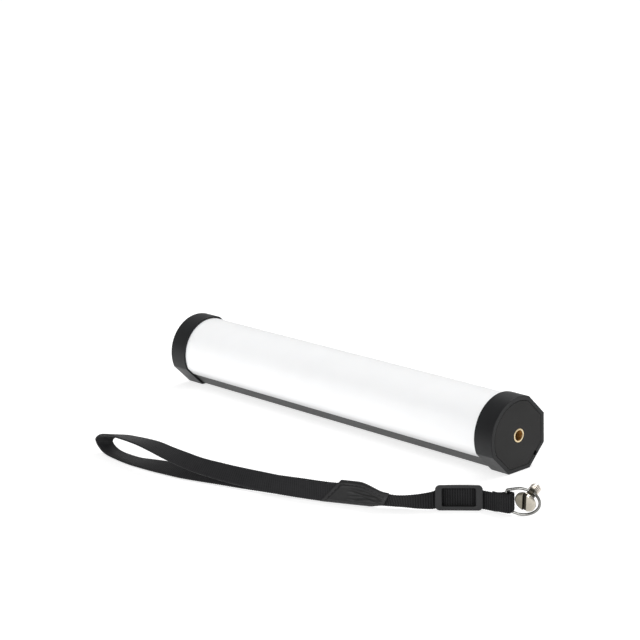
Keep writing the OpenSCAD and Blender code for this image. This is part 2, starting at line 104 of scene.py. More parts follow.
def hermite(stations, step):
    """A smooth curve through the stations, resampled at an even step along its first three columns."""
    p = np.array(stations, float)
    n = len(p)
    d = np.linalg.norm(np.diff(p[:, :3], axis=0), axis=1)
    t = np.concatenate([[0], np.cumsum(d)])
    tangent = np.zeros_like(p)
    for i in range(n):
        a = max(i - 1, 0)
        b = min(i + 1, n - 1)
        tangent[i] = (p[b] - p[a]) / (t[b] - t[a])
    fine = np.linspace(0, t[-1], max(int(t[-1] / step) + 1, 2))
    k = np.clip(np.searchsorted(t, fine, side="right") - 1, 0, n - 2)
    h = (t[k + 1] - t[k])[:, None]
    u = ((fine - t[k])[:, None]) / h
    a0 = 2 * u**3 - 3 * u**2 + 1
    a1 = u**3 - 2 * u**2 + u
    b0 = -2 * u**3 + 3 * u**2
    b1 = u**3 - u**2
    return a0 * p[k] + a1 * h * tangent[k] + b0 * p[k + 1] + b1 * h * tangent[k + 1]


def smoothstep(a, b, x):
    t = np.clip((np.asarray(x, float) - a) / (b - a), 0, 1)
    return t * t * (3 - 2 * t)


def modify(ob, kind, name, **settings):
    m = ob.modifiers.new(name, kind)
    for key, value in settings.items():
        setattr(m, key, value)
    return m


def apply_all(ob):
    bpy.context.view_layer.update()
    graph = bpy.context.evaluated_depsgraph_get()
    mesh = bpy.data.meshes.new_from_object(ob.evaluated_get(graph))
    old = ob.data
    ob.modifiers.clear()
    ob.data = mesh
    bpy.data.meshes.remove(old)
    return ob


def round_edges(ob, width, segments=2):
    modify(ob, "WELD", "weld", merge_threshold=1e-6)
    modify(ob, "BEVEL", "bevel", width=width, segments=segments, limit_method="ANGLE",
           angle_limit=math.radians(32), harden_normals=True, miter_outer="MITER_ARC")
    modify(ob, "WEIGHTED_NORMAL", "normals", keep_sharp=True)


# ---- materials ----

class Paint:
    """A Principled material with procedural colour, roughness and bump."""

    def __init__(self, name, color, rough=0.5, metallic=0.0, **sockets):
        self.mat = bpy.data.materials.new(name)
        self.mat.use_nodes = True
        self.nt = self.mat.node_tree
        self.bsdf = next(n for n in self.nt.nodes if n.type == "BSDF_PRINCIPLED")
        self.color = (*color, 1)
        self.bsdf.inputs["Base Color"].default_value = self.color
        self.bsdf.inputs["Roughness"].default_value = rough
        self.bsdf.inputs["Metallic"].default_value = metallic
        for key, value in sockets.items():
            self.bsdf.inputs[key.replace("_", " ")].default_value = value
        self.coords = self.new("ShaderNodeTexCoord").outputs["Object"]
        self.height = None
        self.mat.diffuse_color = self.color

    def new(self, kind, **inputs):
        n = self.nt.nodes.new(kind)
        for key, value in inputs.items():
            n.inputs[key].default_value = value
        return n

    def join(self, a, b):
        self.nt.links.new(a, b)

    def stretch(self, scale):
        n = self.new("ShaderNodeMapping")
        n.inputs["Scale"].default_value = scale
        self.join(self.coords, n.inputs["Vector"])
        return n.outputs["Vector"]

    def noise(self, size, detail=4.0, vector=None):
        """Noise whose features are about size metres across."""
        n = self.new("ShaderNodeTexNoise", Scale=1 / size, Detail=detail, Roughness=0.55)
        self.join(vector or self.coords, n.inputs["Vector"])
        return n.outputs["Fac"]

    def cells(self, size, feature="F1", smooth=None):
        n = self.new("ShaderNodeTexVoronoi", Scale=1 / size)
        n.feature = feature
        if smooth is not None:
            n.inputs["Smoothness"].default_value = smooth
        self.join(self.coords, n.inputs["Vector"])
        return n.outputs["Distance"]

    def remap(self, value, lo, hi, a=0.0, b=1.0):
        n = self.new("ShaderNodeMapRange")
        for key, v in zip(("From Min", "From Max", "To Min", "To Max"), (lo, hi, a, b)):
            n.inputs[key].default_value = v
        self.join(value, n.inputs["Value"])
        return n.outputs["Result"]

    def ramp(self, value, stops):
        n = self.new("ShaderNodeValToRGB")
        e = n.color_ramp.elements
        while len(e) < len(stops):
            e.new(0.5)
        for item, (at, c) in zip(e, stops):
            item.position = at
            item.color = (*c, 1)
        self.join(value, n.inputs["Fac"])
        return n.outputs["Color"]

    def attribute(self, name):
        n = self.new("ShaderNodeAttribute")
        n.attribute_name = name
        return n.outputs["Fac"]

    def product(self, a, b):
        n = self.new("ShaderNodeMath")
        n.operation = "MULTIPLY"
        self.join(a, n.inputs[0])
        self.join(b, n.inputs[1])
        return n.outputs["Value"]

    def tint(self, value, dark, light, lo=0.3, hi=0.7):
        """Base colour that wanders between two shades of the material's colour."""
        c = self.color[:3]
        stops = [(lo, tuple(min(x * dark, 1) for x in c)), (hi, tuple(min(x * light, 1) for x in c))]
        self.join(self.ramp(value, stops), self.bsdf.inputs["Base Color"])
        return self

    def rough(self, value, a, b):
        """Roughness from a to b over the usual swing of a noise value."""
        self.join(self.remap(value, 0.3, 0.7, a, b), self.bsdf.inputs["Roughness"])
        return self

    def bump(self, value, depth, strength=1.0):
        """Adds a bump whose full swing is depth metres."""
        n = self.new("ShaderNodeBump", Strength=strength, Distance=depth)
        self.join(value, n.inputs["Height"])
        if self.height is not None:
            self.join(self.height, n.inputs["Normal"])
        self.height = n.outputs["Normal"]
        self.join(self.height, self.bsdf.inputs["Normal"])
        return self

    def on(self, *names):
        for name in names:
            ob = NODES[name] if name in NODES else bpy.data.objects[name]
            ob.data.materials.clear()
            ob.data.materials.append(self.mat)
        return self


def moulded(name, color, rough=0.5, grain=0.00035, depth=0.00002, **kw):
    p = Paint(name, color, rough, Specular_IOR_Level=0.24, **kw)
    fine = p.noise(grain, 3)
    broad = p.noise(0.02, 3)
    p.tint(broad, 0.86, 1.14)
    p.rough(broad, rough - 0.06, rough + 0.07)
    p.bump(fine, depth, 0.7)
    return p


def metal(name, color, rough=0.25, stretch=(1, 1, 1), grain=0.0003, depth=0.000006, spread=0.1):
    p = Paint(name, color, rough, 1.0)
    line = p.noise(grain, 4, vector=p.stretch(stretch))
    spot = p.noise(0.004, 4)
    p.tint(spot, 0.9, 1.06)
    p.rough(line, rough - spread / 2, rough + spread)
    p.bump(line, depth, 0.6)
    return p


def board(name, color):
    p = Paint(name, color, 0.42)
    tracks = p.new("ShaderNodeTexBrick", Scale=260.0)
    tracks.inputs["Mortar Size"].default_value = 0.06
    p.join(p.coords, tracks.inputs["Vector"])
    p.tint(tracks.outputs["Fac"], 0.92, 1.35, 0.2, 0.8)
    p.rough(p.noise(0.003), 0.32, 0.52)
    p.bump(tracks.outputs["Fac"], 0.00004, 0.6)
    return p


# ---- camera, floor, light ----

CAM_AT = Vector((0.90573, -0.84514, 0.38908))
CAM_AZ, CAM_EL, CAM_ROLL = (math.radians(a) for a in (47.6775, 14.5772, -1.7121))
LENS, SENSOR = 114.1, 36.0
back = Vector((math.sin(CAM_AZ) * math.cos(CAM_EL),
               -math.cos(CAM_AZ) * math.cos(CAM_EL),
               math.sin(CAM_EL)))
right = (-back).cross(Vector((0, 0, 1))).normalized()
up = right.cross(-back)
cam_x = math.cos(CAM_ROLL) * right + math.sin(CAM_ROLL) * up
cam_y = -math.sin(CAM_ROLL) * right + math.cos(CAM_ROLL) * up
cam_data = bpy.data.cameras.new("camera")
cam_data.lens = LENS
cam_data.sensor_width = SENSOR
cam_data.clip_start = 0.01
cam_data.clip_end = 50
camera = bpy.data.objects.new("camera", cam_data)
scene.collection.objects.link(camera)
camera.matrix_world = Matrix.Translation(CAM_AT) @ Matrix((cam_x, cam_y, back)).transposed().to_4x4()
scene.camera = camera

scene.view_settings.view_transform = "Standard"
world = bpy.data.worlds.new("studio")
scene.world = world
world.use_nodes = True
sky = next(n for n in world.node_tree.nodes if n.type == "BACKGROUND")
sky.inputs["Color"].default_value = (1, 1, 1, 1)
sky.inputs["Strength"].default_value = 0.44

bm = bmesh.new()
bmesh.ops.create_grid(bm, x_segments=8, y_segments=8, size=6)
floor_mesh = bpy.data.meshes.new("floor")
bm.to_mesh(floor_mesh)
bm.free()
floor = bpy.data.objects.new("floor", floor_mesh)
scene.collection.objects.link(floor)
floor.location.z = -0.0002
floor_paint = Paint("floor_pale", (0.62, 0.62, 0.62), 0.9)
floor_paint.bsdf.inputs["Specular IOR Level"].default_value = 0.1
floor_paint.bsdf.inputs["Emission Color"].default_value = (1, 1, 1, 1)
floor_paint.bsdf.inputs["Emission Strength"].default_value = 0.64
floor.data.materials.append(floor_paint.mat)


def area(name, at, toward, size, power, size_y=None):
    data = bpy.data.lights.new(name, "AREA")
    data.energy = power
    data.size = size
    if size_y:
        data.shape = "RECTANGLE"
        data.size_y = size_y
    ob = bpy.data.objects.new(name, data)
    scene.collection.objects.link(ob)
    ob.location = at
    ob.rotation_euler = (Vector(toward) - Vector(at)).to_track_quat("-Z", "Y").to_euler()
    return ob


def soft_sun(name, at, strength, spread):
    data = bpy.data.lights.new(name, "SUN")
    data.energy = strength
    data.angle = math.radians(spread)
    ob = bpy.data.objects.new(name, data)
    scene.collection.objects.link(ob)
    ob.location = at
    ob.rotation_euler = (-Vector(at)).to_track_quat("-Z", "Y").to_euler()
    return ob


soft_sun("key_sky", (0.5, -0.25, 1.4), 0.05, 70)
soft_sun("front_sky", (0.3, -1.0, 0.42), 1.5, 40)
area("rim_top", (0.05, 0.55, 0.9), (0, 0, 0.02), 0.9, 6.0, size_y=0.25)
area("fill_right", (1.3, -0.1, 0.5), (0.1, 0, 0.02), 0.6, 1.0)


# ---- finishes of the CAD parts ----

diffuser_paint = Paint("diffuser_milk", (0.885, 0.887, 0.89), 0.5, Specular_IOR_Level=0.12)
diffuser_paint.bsdf.inputs["Subsurface Weight"].default_value = 0.35
diffuser_paint.bsdf.inputs["Subsurface Radius"].default_value = (1.0, 0.95, 0.9)
diffuser_paint.bsdf.inputs["Subsurface Scale"].default_value = 0.004
# painted shade: the wall's base colour greys along its edges, next to the black body, in place of the shade
# that falls there
BEAM = (0.0, -0.7071, 0.7071)
EDGE_DEPTH, CLEAR_DEPTH = 0.0172, 0.027
beam_depth = diffuser_paint.new("ShaderNodeVectorMath")
beam_depth.operation = "DOT_PRODUCT"
beam_depth.inputs[1].default_value = BEAM
diffuser_paint.join(diffuser_paint.coords, beam_depth.inputs[0])
edge_painted_shade = diffuser_paint.remap(beam_depth.outputs["Value"], EDGE_DEPTH, CLEAR_DEPTH, 0.55, 1)
mottle = diffuser_paint.remap(diffuser_paint.noise(0.03, 2), 0.3, 0.7, 0.985, 1.01)
diffuser_paint.tint(diffuser_paint.product(edge_painted_shade, mottle), 0, 1, 0, 1)
diffuser_paint.rough(diffuser_paint.noise(0.012, 3), 0.45, 0.56)
diffuser_paint.bump(diffuser_paint.noise(0.0006, 3), 0.000008, 0.5)
diffuser_paint.on("diffuser")

cap_paint = moulded("cap_black", (0.008, 0.0084, 0.0092), 0.4, 0.0004, 0.00003)
cap_paint.on("cap_left", "cap_right")
plate_paint = moulded("plate_black", (0.0115, 0.0112, 0.011), 0.55, 0.0004, 0.00004)
plate_paint.on("end_plate_left", "end_plate_right")
spine_paint = Paint("spine_black", (0.016, 0.0164, 0.0164), 0.45, 0.0, Specular_IOR_Level=0.3)
spine_grain = spine_paint.noise(0.0006, 4, vector=spine_paint.stretch((0.03, 1, 1)))
spine_paint.tint(spine_paint.noise(0.02), 0.9, 1.12)
spine_paint.rough(spine_grain, 0.38, 0.52)
spine_paint.bump(spine_grain, 0.00002, 0.7)
spine_paint.on("spine")
gasket_paint = moulded("seal_rubber", (0.02, 0.02, 0.021), 0.8, 0.0006, 0.00002)
gasket_paint.on("gasket_left", "gasket_right")
screw_paint = metal("screw_steel", (0.56, 0.57, 0.58), 0.3)
screw_paint.on("cap_screws_left", "cap_screws_right", "board_screws")
aluminium_paint = metal("bare_aluminium", (0.75, 0.76, 0.78), 0.35, (0.03, 1, 1), 0.0006, 0.00001)
aluminium_paint.on("led_carrier")
board("board_white", (0.86, 0.87, 0.86)).on("led_board")
board("board_green", (0.02, 0.13, 0.05)).on("driver_board", "button_board", "usb_board")


def led(name, phosphor):
    p = Paint(name, phosphor, 0.3)
    p.bsdf.inputs["Coat Weight"].default_value = 0.4
    p.tint(p.cells(0.0009), 0.8, 1.1)
    p.rough(p.noise(0.0008), 0.22, 0.4)
    p.bump(p.cells(0.0012), 0.00004, 0.5)
    return p


led("led_warm", (0.85, 0.55, 0.12)).on("leds_warm")
led("led_cool", (0.85, 0.78, 0.30)).on("leds_cool")
led("led_rgb", (0.80, 0.82, 0.84)).on("leds_rgb")
moulded("reflector_white", (0.88, 0.88, 0.87), 0.3, 0.0005, 0.00001).on("reflector")
cell_paint = moulded("cell_wrap", (0.03, 0.09, 0.20), 0.32, 0.002, 0.00004)
cell_paint.on("battery_front", "battery_rear")
moulded("tray_black", (0.03, 0.03, 0.032), 0.55).on("battery_tray")
metal("contact_nickel", (0.70, 0.68, 0.63), 0.28).on("battery_contacts")
moulded("component_dark", (0.035, 0.035, 0.04), 0.4, 0.0003, 0.00002).on("driver_parts")
moulded("wire_red", (0.55, 0.03, 0.02), 0.4, 0.001, 0.00002).on("battery_leads")
moulded("wire_amber", (0.75, 0.35, 0.03), 0.4, 0.001, 0.00002).on("led_leads")
panel_paint = moulded("panel_gloss", (0.012, 0.012, 0.014), 0.22, 0.0008, 0.000006)
panel_paint.bsdf.inputs["Coat Weight"].default_value = 0.3
panel_paint.on("control_panel")
window_paint = Paint("window_clear", (0.62, 0.68, 0.72), 0.08)
window_paint.bsdf.inputs["Transmission Weight"].default_value = 0.75
window_paint.bsdf.inputs["IOR"].default_value = 1.49
window_paint.rough(window_paint.noise(0.006), 0.05, 0.12)
window_paint.on("display_window")
display_paint = Paint("display_dark", (0.010, 0.014, 0.020), 0.2)
display_grid = display_paint.new("ShaderNodeTexBrick", Scale=1800.0)
display_grid.inputs["Mortar Size"].default_value = 0.04
display_grid.offset = 0.0
display_paint.join(display_paint.coords, display_grid.inputs["Vector"])
display_paint.tint(display_grid.outputs["Fac"], 0.8, 1.5, 0.2, 0.8)
display_paint.rough(display_paint.noise(0.004), 0.15, 0.25)
display_paint.on("display_module")
moulded("button_grey", (0.09, 0.092, 0.096), 0.5, 0.0003, 0.00003).on(
    "button_power", "button_mode", "button_up", "button_down")
moulded("switch_white", (0.72, 0.72, 0.70), 0.4).on("tact_switches")
metal("port_steel", (0.62, 0.63, 0.65), 0.25).on("usb_port")
moulded("tongue_black", (0.02, 0.02, 0.02), 0.5).on("usb_tongue")
metal("magnet_nickel", (0.68, 0.68, 0.68), 0.18).on("magnet_left", "magnet_right")

BEVELS = {
    0.0006: ("cap_left", "cap_right"),
    0.0004: ("button_power", "button_mode", "button_up", "button_down"),
    0.00025: ("diffuser", "spine"),
    0.0002: ("end_plate_left", "end_plate_right", "control_panel", "magnet_left", "magnet_right",
             "battery_tray"),
    0.00015: ("board_screws", "cap_screws_left", "cap_screws_right"),
    0.0001: ("display_window",),
    0.00008: ("usb_port",),
}
for width, nodes in BEVELS.items():
    for node in nodes:
        round_edges(NODES[node], width)
FINE_BEVEL = 0.00006
for node in ("gasket_left", "gasket_right", "led_carrier", "led_board", "leds_warm", "leds_cool",
             "leds_rgb", "reflector", "battery_front", "battery_rear", "battery_contacts",
             "driver_board", "driver_parts", "display_module", "button_board", "tact_switches",
             "usb_tongue", "usb_board"):
    round_edges(NODES[node], FINE_BEVEL, 1)


# ---- threaded brass inserts ----

AXIS_Z = 0.022
HALF_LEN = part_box("cap_right")[1].x
PITCH_MM = 25.4 / 20
PITCH = PITCH_MM * MM
AROUND = 72


def thread(phase):
    """Share of full thread height at a phase of the turn, with a flat crest and root."""
    d = abs((phase % 1.0) - 0.5) * 2
    return min(max((d - 0.1) / 0.75, 0), 1)


def insert(name, side, node):
    lo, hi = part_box(node)
    radius = (hi.y - lo.y) / 2
    x_in, x_out = (lo.x, hi.x) if side > 0 else (hi.x, lo.x)
    depth = abs(x_out - x_in)
    chamfer = 0.12 * MM
    crest, root = 3.25 * MM, 2.62 * MM
    outer = [(depth, radius * 0.96), (depth, radius), (chamfer, radius), (0, radius - chamfer),
             (0, crest + 0.1 * MM)]
    rings = [[(a, r)] * AROUND for a, r in outer]
    steps = int(depth / (0.09 * MM))
    for i in range(steps + 1):
        a = depth * i / steps
        lead_in = min(a / (1.1 * PITCH), 1)
        deep = crest + 0.08 * MM * (1 - lead_in)
        row = []
        for k in range(AROUND):
            t = thread(a / PITCH - side * k / AROUND)
            row.append((a, deep - (crest - root) * t * (0.25 + 0.75 * lead_in)))
        rings.append(row)
    pts = []
    for row in rings:
        pts.append([(x_out - side * a, r * math.cos(2 * math.pi * k / AROUND),
                     AXIS_Z + r * math.sin(2 * math.pi * k / AROUND)) for k, (a, r) in enumerate(row)])
    verts, faces = tube_grid(pts, closed_path=True)
    ob = outward(link(name, verts, faces))
    sharpen(ob, 50)
    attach(ob, "light")
    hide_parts(node)
    return ob


right_insert = insert("insert_right_threaded", 1, "threaded_insert_right")
left_insert = insert("insert_left_threaded", -1, "threaded_insert_left")
brass_paint = metal("insert_brass", (0.72, 0.585, 0.37), 0.34, (1, 1, 1), 0.0005, 0.000006)
brass_paint.on("insert_right_threaded", "insert_left_threaded")
# painted shade: the bore is a dark brown copy of the brass, in place of the shade inside the hole
bore_shade_paint = metal("insert_bore_shade", (0.20, 0.088, 0.02), 0.38, (1, 1, 1), 0.0004, 0.000008)
BORE_R, RIM_DEPTH = 3.28 * MM, 0.16 * MM
for brass in (right_insert, left_insert):
    brass.data.materials.append(bore_shade_paint.mat)
    for face in brass.data.polygons:
        at = face.center
        inside = math.hypot(at.y, at.z - AXIS_Z) < BORE_R and HALF_LEN - abs(at.x) > RIM_DEPTH
        face.material_index = 1 if inside else 0


# ---- woven strap ----

# lengths in this section are millimetres and angles are degrees
WEB_W, WEB_T = 11.0, 1.3
WEAVE_COLUMNS = 7
SLIDER_AT, STRAP_DIR = (166.5, -71.3), 42.0
BAR_AT, FOLD_DIR = (191.1, -59.1), 14.0
# stations of the webbing's lower edge: x, y, z, direction of its width in plan, lean (90 is on edge)
LOOP = [
    [112, -107.4, 0.7, 114, 90], [103, -111.5, 0.5, 112, 90], [92, -116, 0.5, 111, 88],
    [75, -123, 0, 110, 74], [62, -128, 0, 109, 60], [49, -132.5, 0, 108, 49], [36, -136.5, 0, 107, 41],
    [24, -140.5, 0, 105, 34], [11, -144.5, 0, 103, 29], [0, -146.5, 0, 99, 25],
    [-13, -148.5, 0, 95, 19], [-24, -149.5, 0, 90, 12], [-34, -150, 0, 82, 6],
    [-47, -149.5, 0.2, 70, 2], [-59.4, -148.5, 1.0, 58, 0], [-67.8, -147, 3.8, 48, -4],
    [-70.2, -146.5, 7.2, 44, -6], [-65, -146.5, 10.8, 50, -7], [-53.4, -147.5, 13, 62, -6],
    [-40, -149, 14.1, 76, -4], [-26, -150, 14.4, 86, 2], [-13, -150, 13.2, 92, 12],
    [0, -149.5, 11.2, 97, 20], [11, -148, 9.3, 101, 27], [24, -145, 6.8, 105, 34],
    [36, -141, 5, 107, 41], [49, -136.5, 3.4, 108, 49], [62, -131.3, 2, 109, 60],
    [75, -125.8, 1, 110, 74], [92, -118.5, 0.5, 111, 88], [102.5, -114.2, 0.5, 112, 90],
    [111, -110.0, 0.7, 114, 90]
]
TAIL_LEFT = [
    [122, -103.8, 0.8, 115.5, 92], [128, -100.7, 0.8, 115.5, 100], [133.5, -97.4, 0.6, 117, 116],
    [138.2, -93.8, 0.3, 121, 124], [142.5, -90.6, 0.1, 126, 124], [149, -87.2, 0.1, 131, 115],
    [153, -84.2, 0.1, 132, 107], [155.6, -81.6, 0.1, 132, 99]
]
# beside the buckle: along it, behind it, height, direction from the buckle's own, lean, width
TAIL_BUCKLE = [
    [-13.3, 0.4, 0.15, 90, 94, 11], [-10.6, 0.8, 0.6, 90, 91, 11.3],
    [-8.6, 1, 1.15, 90, 90, 11.5], [-6.4, 0.35, 1.3, 90, 90, 11.5],
    [-4.2, -0.15, 1.6, 90, 90, 11.3], [-2, -0.2, 1.82, 90, 90, 11.2],
    [2, -0.2, 1.82, 90, 90, 11.2], [4.2, -0.2, 1.6, 90, 90, 11.3],
    [6.6, -0.1, 1.3, 90, 90, 11.5], [8.6, 0.85, 1.15, 90, 90, 11.5],
    [10.2, 0.75, 0.7, 90, 90, 11.3], [11.8, 0.2, 0.25, 90, 90, 11],
    [13.4, 0, 0.1, 89, 90, 11]
]
TAIL_RIGHT = [
    [179.8, -61.5, 0.1, 122, 90], [183.9, -60.8, 0.2, 112, 90], [187.2, -60.8, 0.7, 106, 90]
]


def turned_place(origin, direction, x, y):
    """A plan point x along and y to the left of a direction through an origin."""
    a = math.radians(direction)
    return (origin[0] + x * math.cos(a) - y * math.sin(a),
            origin[1] + x * math.sin(a) + y * math.cos(a))


def beside_slider(x, y):
    return turned_place(SLIDER_AT, STRAP_DIR, x, y)


TAIL = [station + [WEB_W] for station in TAIL_LEFT]
for x, y, z, az, lean, wide in TAIL_BUCKLE:
    TAIL.append([*beside_slider(x, y), z, az + STRAP_DIR, lean, wide])
TAIL += [station + [WEB_W] for station in TAIL_RIGHT]


def webbing(name, stations, pitch, depth, step=0.3, columns=34, painted_light_lift=0.0):
    """A flat woven band: cross ribs and columns of the woven cloth stand in its mesh.

    Its point attribute is painted shade, high on the ribs and low in the grooves between them; lift adds
    painted light that brightens it all.
    """
    c = hermite(stations, step)
    n = len(c)
    low = c[:, :3].copy()
    az, lean = np.radians(c[:, 3]), np.radians(c[:, 4])
    width = c[:, 5] if c.shape[1] > 5 else np.full(n, WEB_W)
    low[:, 2] += np.abs(np.cos(lean)) * WEB_T / 2 + 0.07
    across = np.stack([np.cos(lean) * np.cos(az), np.cos(lean) * np.sin(az), np.sin(lean)], 1)
    head = np.gradient(c[:, :3], axis=0)
    face = np.cross(across, head)
    face /= np.linalg.norm(face, axis=1)[:, None]
    run = np.concatenate([[0], np.cumsum(np.linalg.norm(np.diff(c[:, :3], axis=0), axis=1))])
    ridge = np.cos(2 * math.pi * run / pitch)
    half = WEB_T / 2
    section = []
    for k in range(columns + 1):
        section.append((k / columns, 1.0))
    for k in range(columns + 1):
        section.append((1 - k / columns, -1.0))
    verts = np.zeros((n, len(section), 3))
    shade = np.zeros((n, len(section)))
    for j, (v, side) in enumerate(section):
        edge = min(v, 1 - v) * WEB_W
        round_off = math.sqrt(max(1 - (1 - min(edge / half, 1)) ** 2, 0))
        column = 2 * math.pi * v * WEAVE_COLUMNS
        weave_and_shade = ridge * (0.55 + 0.45 * math.cos(column)) + 0.35 * math.cos(2 * column)
        thick = (half - depth * 1.2) * (0.35 + 0.65 * round_off) + depth * weave_and_shade * round_off
        across_at = v * width + (v - 0.5) * 2 * 0.09 * ridge * (edge < 0.6)
        verts[:, j] = low + across * across_at[:, None] + face * (side * thick)[:, None]
        # painted shade: darker in the grooves between ribs and columns, lighter on the ribs, with lift
        # added as painted light
        shade[:, j] = 0.5 + painted_light_lift + 0.3 * (weave_and_shade + 0.4 * ridge) * round_off
    verts *= MM
    v, f = tube_grid([[tuple(p) for p in ring] for ring in verts])
    ob = outward(link(name, v, f))
    ob.data.attributes.new("weave_and_shade", "FLOAT", "POINT").data.foreach_set("value", shade.ravel())
    return ob


RIB_PITCH = 1.4
# painted light: the loop's band is made lighter than the tail's
loop = webbing("strap_loop_webbing", LOOP, RIB_PITCH, 0.07, painted_light_lift=0.3)
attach(loop, "strap")
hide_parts("strap_loop")


def fold_route():
    """The tail's stations, then once round the ring's bar and back behind."""
    bar = np.array(BAR_AT)
    across = FOLD_DIR + 90
    ahead = np.array([math.cos(math.radians(FOLD_DIR)), math.sin(math.radians(FOLD_DIR))])
    left = np.array([-ahead[1], ahead[0]])
    turn_r, turn_ahead = 1.72, 2.5
    out = list(TAIL)
    out.append([*(bar - 0.8 * ahead - 1.66 * left), 1.1, across, 90, WEB_W])
    out.append([*(bar + 1.2 * ahead - turn_r * left), 1.2, across, 90, WEB_W])
    for turn, z, width in ((-80, 1.4, 11), (-50, 1.9, 10.9), (-20, 2.7, 10.3), (15, 2.75, 10.2),
                           (50, 2.75, 10.2), (80, 2.5, 10.4)):
        a = math.radians(turn)
        at = bar + turn_ahead * ahead + turn_r * (math.cos(a) * ahead + math.sin(a) * left)
        out.append([*at, z, across, 90, width])
    out.append([*(bar + 0.2 * ahead + 1.66 * left), 2, across, 90, WEB_W])
    out.append([*(bar - 2.0 * ahead + 1.1 * left), 1.3, across, 90, WEB_W])
    out.append([186.6, -59.35, 0.7, 106, 90, WEB_W])
    out.append([183.8, -59.35, 0.2, 112, 90, WEB_W])
    out.append([181.2, -59.6, 0.15, 118, 90, WEB_W])
    return out


tail = webbing("strap_tail_webbing", fold_route(), RIB_PITCH, 0.19, step=0.2)
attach(tail, "strap")
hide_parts("strap_tail")

web_paint = Paint("web_black", (0.011, 0.011, 0.0118), 0.7, Specular_IOR_Level=0.1)
web_paint.bsdf.inputs["Sheen Weight"].default_value = 0.15
web_paint.bsdf.inputs["Sheen Roughness"].default_value = 0.4
fibre = web_paint.noise(0.00018, 4)
fading = web_paint.remap(web_paint.noise(0.006, 4), 0.3, 0.7, 0.8, 1.15)
# the band's colour takes its painted shade of ribs and grooves from the point attribute
web_paint.tint(web_paint.product(web_paint.attribute("weave_and_shade"), fading), 0.28, 1.5, 0.22, 0.8)
web_paint.rough(fibre, 0.5, 0.75)
web_paint.bump(fibre, 0.00006, 0.8)
web_paint.on("strap_loop_webbing", "strap_tail_webbing")


# ---- leather patch ----

PATCH_AT, PATCH_DIR = (117.7, -105.7), 25.5
PATCH_H = 14.0
# creases in the leather: height at the middle, slope along it, depth, half width
CREASES = (
    (4.2, 0.045, 0.6, 0.6), (6.1, -0.02, 0.5, 0.5), (8.2, -0.075, 0.7, 0.7), (10.3, -0.11, 0.5, 0.6)
)


def patch_place(x, y, z):
    """Patch coordinates in mm (along, away from the camera, up) to the scene. The right end leans over."""
    lean = math.radians(30) * float(smoothstep(2, 23, x))
    y, z = (y * math.cos(lean) - (z - 1) * math.sin(lean),
            1 + (z - 1) * math.cos(lean) + y * math.sin(lean))
    return Vector((*turned_place(PATCH_AT, PATCH_DIR, x, y), z)) * MM


def patch_sides(z):
    """Where the patch's slanting left and right sides stand at a height."""
    return -20.4 + 13 * z / PATCH_H, 16.8 + 7.2 * z / PATCH_H


def patch_rims(x):
    """Heights of the patch's lower and upper rim, which draw together towards its right end."""
    low = 1.9 * float(smoothstep(9, 20, x))
    high = PATCH_H - 1.7 * float(smoothstep(3, 20, x))
    return low, high


def patch_half(x, z, side):
    """Half thickness of the padded leather at a point, and its tone: painted shade in the creases, a
    painted highlight on the hem's ridge and painted shade in the seam groove.

    side is 1 on the face towards the camera, where the creases are deepest.
    """
    left, end = patch_sides(z)
    low, high = patch_rims(x)
    dz = max(min(z - low, high - z), 0)
    dl = max(x - left, 0)
    dr = max(end - x, 0)
    crown = 3.0 - 1.1 * float(smoothstep(2, 19, x))
    by_z = 0.7 + (crown - 0.7) * (1 - math.exp(-(dz / 1.5) ** 1.5))
    by_l = 2.25 + 0.9 * (1 - math.exp(-(dl / 3.0) ** 2))
    by_r = 1.35 + 1.6 * (1 - math.exp(-(dr / 3.5) ** 2))
    half = min(by_z, by_l, by_r)
    seam = min(dz, dl * 0.8, dr * 0.9)
    half -= 0.32 * math.exp(-((seam - 1.75) / 0.35) ** 2)
    inside = float(smoothstep(1.6, 3.2, seam))
    crease = 0
    for at, slope, amount, wide in CREASES:
        line = at + slope * x + 0.35 * math.sin(0.45 * x + at)
        crease += amount * math.exp(-((z - line) / wide) ** 2) * float(smoothstep(-7 + at * 0.3, 3, x))
    half -= inside * crease * (1.0 if side > 0 else 0.7)
    half += inside * 0.22 * math.exp(-((x + 8) / 6) ** 2 - ((z - 9) / 3.5) ** 2)
    # tone: painted shade in the creases, a painted highlight on the hem's ridge and painted shade in the
    # seam groove
    hem = math.exp(-((seam - 1.15) / 0.35) ** 2) - math.exp(-((seam - 1.8) / 0.3) ** 2)
    return max(half, 0.5), 0.55 - 0.75 * inside * crease + 0.4 * hem


def leather_patch():
    """The padded sleeve; its point attribute carries the tone of painted shade in the creases and painted
    highlight and shade along the hem.
    """
    nx, nz = 150, 56
    rings, tones = [], []
    for i in range(nx + 1):
        u = i / nx
        ring = []
        for side in (-1, 1):
            order = range(nz + 1) if side < 0 else range(nz, -1, -1)
            for k in order:
                v = k / nz
                z = PATCH_H * v
                for _ in range(3):
                    left, end = patch_sides(z)
                    x = left + (end - left) * u
                    low, high = patch_rims(x)
                    z = low + (high - low) * v
                half, tone = patch_half(x, z, -side)
                tones.append(min(max(tone, 0), 1))
                tuck = 0.35 * (1 - min(min(k, nz - k) / 2.0, 1))
                ring.append(patch_place(x, side * max(half - tuck, 0.3), z))
        rings.append(ring)
    inner = []
    for base in (rings[0], rings[-1]):
        mid = sum(base, Vector()) / len(base)
        inner.append([p.lerp(mid, 0.12) for p in base])
    rings = [inner[0]] + rings + [inner[1]]
    v, f = tube_grid(rings)
    ob = outward(link("patch_leather", v, f))
    rim = [0.5] * len(rings[0])
    ob.data.attributes.new("fold_shade_and_highlight", "FLOAT", "POINT").data.foreach_set("value", rim + tones + rim)
    sharpen(ob, 60)
    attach(ob, "strap")
    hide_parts("strap_patch")
    return ob


